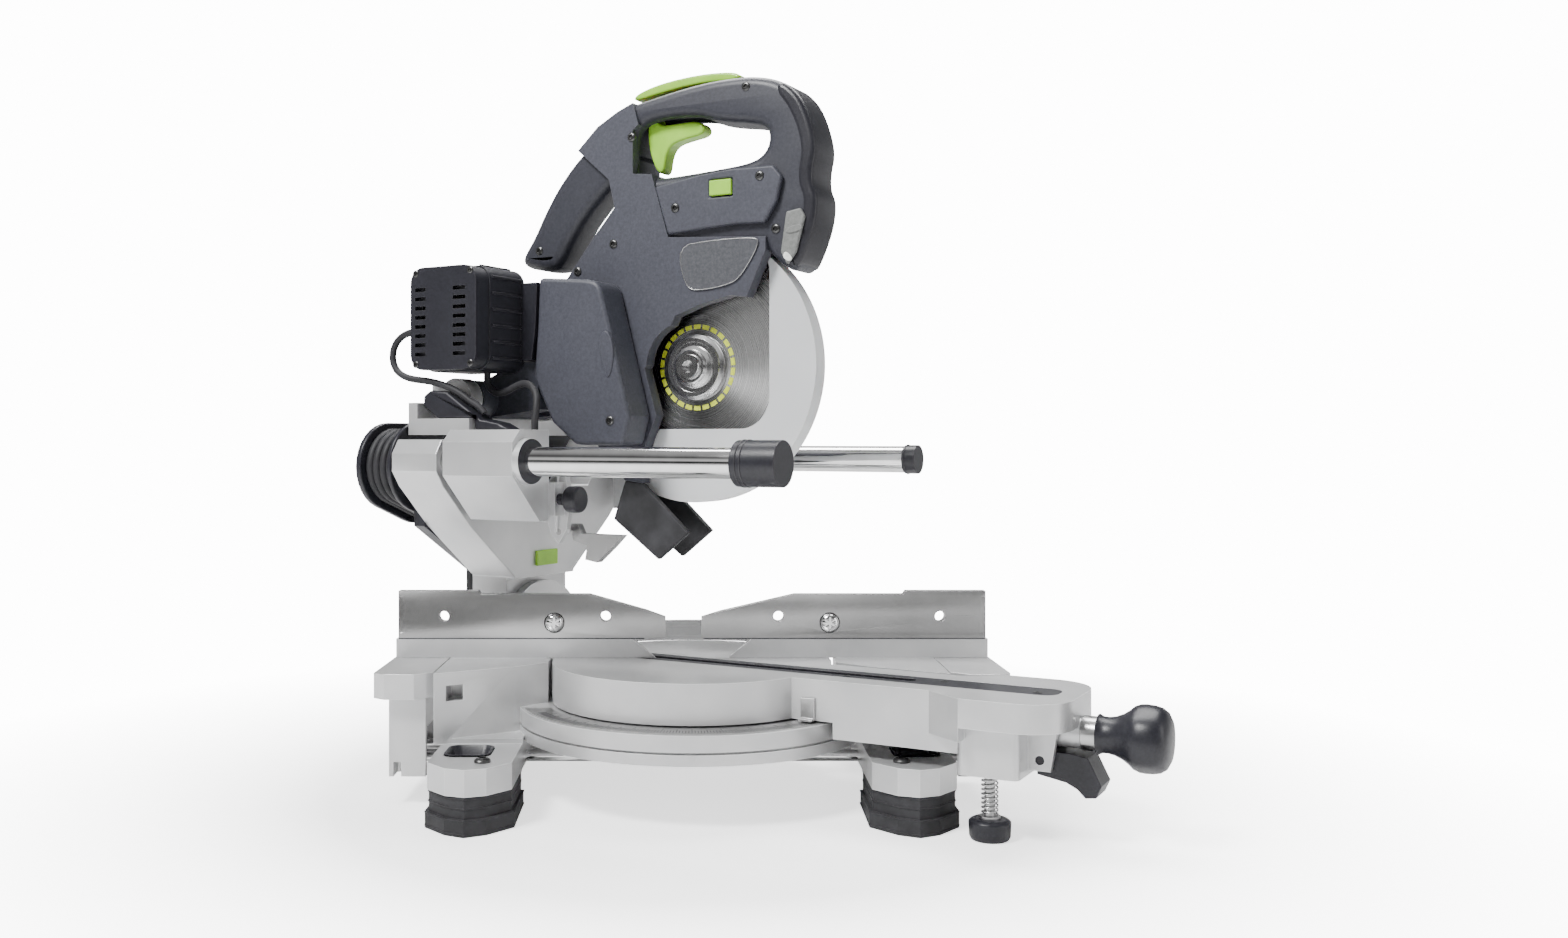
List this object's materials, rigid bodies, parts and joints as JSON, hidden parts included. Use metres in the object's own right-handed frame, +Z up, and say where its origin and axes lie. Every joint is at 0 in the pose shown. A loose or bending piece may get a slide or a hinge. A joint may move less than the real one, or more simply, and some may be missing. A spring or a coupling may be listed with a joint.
{
  "type": "sliding miter saw",
  "caption": "Sliding compound miter saw: mitring turntable with arm, bevelling column with two guide rails, sliding carriage and a sprung chop head with swinging guard.",
  "frame": {"origin": "turntable pivot axis at floor level, which is the centre of the four bench bolt holes", "axes": "+Z up, +X along the fence to the operator's right, +Y away from the operator"},
  "size_m": [0.6526, 0.4707, 0.617],
  "materials": {
    "cast_silver": "satin painted casting",
    "fence_alu": "machined",
    "black_plastic": "fine textured",
    "grey_plastic": "fine textured",
    "rubber": "matte",
    "lime": "satin",
    "steel": "brushed",
    "chrome": "polished",
    "blade_steel": "brushed",
    "guard_white": "satin",
    "plate": "anodised",
    "cord_rubber": "matte",
    "lamp_grey": "satin"
  },
  "bodies": {
    "base": {"base_casting": "cast_silver", "mitre_scale": "steel", "rubber_feet": "rubber", "lower_fence": "cast_silver"},
    "left_extension": {"left_extension_table": "cast_silver", "left_extension_rods": "chrome"},
    "right_extension": {"right_extension_table": "cast_silver", "right_extension_rods": "chrome"},
    "left_fence": {"left_upper_fence": "fence_alu"},
    "right_fence": {"right_upper_fence": "fence_alu"},
    "left_screw": {"left_fence_screw": "steel"},
    "right_screw": {"right_fence_screw": "steel"},
    "table": {"turntable": "cast_silver", "kerf_insert": "black_plastic", "trunnion": "cast_silver", "mitre_pointer": "steel", "knob_neck": "steel", "support_spring": "steel"},
    "knob": {"mitre_knob": "black_plastic"},
    "detent": {"detent_lever": "black_plastic"},
    "support": {"support_screw": "steel", "support_pad": "black_plastic"},
    "bevel_arm": {"bevel_column": "cast_silver", "column_cover": "black_plastic", "cord_winder": "black_plastic", "angle_window": "lime", "guide_rails": "chrome", "rail_caps": "black_plastic", "mains_winding": "cord_rubber", "mains_plug": "cord_rubber"},
    "clamp": {"bevel_clamp": "black_plastic"},
    "carriage": {"carriage": "cast_silver", "linear_bearings": "steel", "rail_seals": "rubber", "stop_bracket": "cast_silver", "pivot_shaft": "steel", "carriage_cover": "black_plastic"},
    "lock": {"slide_lock": "black_plastic"},
    "stop_lever": {"deflector_hook": "steel"},
    "head": {"head_housing": "grey_plastic", "gear_cover": "grey_plastic", "belt_cover": "grey_plastic", "main_handle": "black_plastic", "rear_grip": "black_plastic", "switch_panel": "grey_plastic", "name_plate": "plate", "motor_housing": "black_plastic", "motor_end_cap": "black_plastic", "work_lamp": "lamp_grey", "dust_chute": "rubber", "housing_screws": "steel", "motor_cable": "cord_rubber"},
    "guard": {"lower_guard": "guard_white"},
    "blade": {"saw_blade": "blade_steel", "arbor": "steel"},
    "rotor": {"motor_rotor": "steel"},
    "trigger": {"trigger": "lime"},
    "unlock": {"unlock_lever": "lime"},
    "spindle_lock": {"spindle_button": "lime"},
    "dial": {"speed_dial": "lime"}
  },
  "joints": [
    {"name": "left_extension_slide", "type": "slide", "parent": "base", "child": "left_extension", "axis": [-1, 0, 0], "range_m": [0, 0.1]},
    {"name": "right_extension_slide", "type": "slide", "parent": "base", "child": "right_extension", "axis": [1, 0, 0], "range_m": [0, 0.1]},
    {"name": "left_fence_slide", "type": "slide", "parent": "base", "child": "left_fence", "axis": [-1, 0, 0], "range_m": [0, 0.06]},
    {"name": "right_fence_slide", "type": "slide", "parent": "base", "child": "right_fence", "axis": [1, 0, 0], "range_m": [0, 0.06]},
    {"name": "left_screw_turn", "type": "hinge", "parent": "left_fence", "child": "left_screw", "pos_m": [-0.121, 0.01, 0.141], "axis": [0, -1, 0], "range_deg": [0, 270]},
    {"name": "right_screw_turn", "type": "hinge", "parent": "right_fence", "child": "right_screw", "pos_m": [0.121, 0.01, 0.141], "axis": [0, -1, 0], "range_deg": [0, 270]},
    {"name": "mitre", "type": "hinge", "parent": "base", "child": "table", "pos_m": [0, 0, 0], "axis": [0, 0, -1], "range_deg": [0, 120]},
    {"name": "knob_turn", "type": "hinge", "parent": "table", "child": "knob", "pos_m": [0.29272, -0.169, 0.082], "axis": [0.866, -0.5, 0], "range_deg": [0, 270]},
    {"name": "detent_press", "type": "hinge", "parent": "table", "child": "detent", "pos_m": [0.2702, -0.156, 0.062], "axis": [0.5, 0.866, 0], "range_deg": [0, 10], "stiffness_Nm_per_rad": 2, "springref_deg": -8.59},
    {"name": "support_lift", "type": "slide", "parent": "table", "child": "support", "axis": [0, 0, 1], "range_m": [0, 0.016], "deforming": ["support_spring"]},
    {"name": "bevel", "type": "hinge", "parent": "table", "child": "bevel_arm", "pos_m": [-0.13856, 0.08, 0.11], "axis": [0.866, -0.5, 0], "range_deg": [-47, 2]},
    {"name": "clamp_turn", "type": "hinge", "parent": "bevel_arm", "child": "clamp", "pos_m": [-0.19919, 0.115, 0.11], "axis": [0.866, -0.5, 0], "range_deg": [0, 60]},
    {"name": "rail_slide", "type": "slide", "parent": "bevel_arm", "child": "carriage", "axis": [0.866, -0.5, 0], "range_m": [0, 0.19]},
    {"name": "lock_turn", "type": "hinge", "parent": "carriage", "child": "lock", "pos_m": [-0.10479, -0.0515, 0.252], "axis": [0.866, -0.5, 0], "range_deg": [0, 180]},
    {"name": "stop_swing", "type": "hinge", "parent": "carriage", "child": "stop_lever", "pos_m": [-0.06755, 0.039, 0.224], "axis": [-0.5, -0.866, 0], "range_deg": [0, 35]},
    {"name": "chop", "type": "hinge", "parent": "carriage", "child": "head", "pos_m": [-0.16281, 0.094, 0.338], "axis": [0.5, 0.866, 0], "range_deg": [0, 47.4], "stiffness_Nm_per_rad": 10, "springref_deg": -103.13, "deforming": ["dust_chute", "motor_cable"]},
    {"name": "guard_swing", "type": "hinge", "parent": "head", "child": "guard", "pos_m": [0.0052, -0.003, 0.3645], "axis": [-0.5, -0.866, 0], "range_deg": [0, 126]},
    {"name": "blade_spin", "type": "hinge", "parent": "head", "child": "blade", "pos_m": [0.0052, -0.003, 0.3645], "axis": [0.5, 0.866, 0], "continuous": true},
    {"name": "rotor_spin", "type": "hinge", "parent": "head", "child": "rotor", "pos_m": [-0.15329, 0.0885, 0.406], "axis": [0.5, 0.866, 0], "continuous": true},
    {"name": "trigger_pull", "type": "hinge", "parent": "head", "child": "trigger", "pos_m": [-0.03118, 0.018, 0.585], "axis": [-0.5, -0.866, 0], "range_deg": [0, 5], "stiffness_Nm_per_rad": 1.5, "springref_deg": -6.88},
    {"name": "unlock_press", "type": "hinge", "parent": "head", "child": "unlock", "pos_m": [0.04157, -0.024, 0.609], "axis": [-0.5, -0.866, 0], "range_deg": [0, 3.5], "stiffness_Nm_per_rad": 3, "springref_deg": -5.73},
    {"name": "spindle_press", "type": "slide", "parent": "head", "child": "spindle_lock", "axis": [0.5, 0.866, 0], "range_m": [0, 0.003], "stiffness_N_per_m": 800, "springref_m": -0.001},
    {"name": "dial_turn", "type": "hinge", "parent": "head", "child": "dial", "pos_m": [-0.19716, -0.0155, 0.445], "axis": [0, 0, 1], "range_deg": [0, 270]}
  ],
  "couplings": [
    {"joint": "guard_swing", "follows": "chop", "ratio": 2.64},
    {"joint": "rotor_spin", "follows": "blade_spin", "ratio": 3.4}
  ]
}
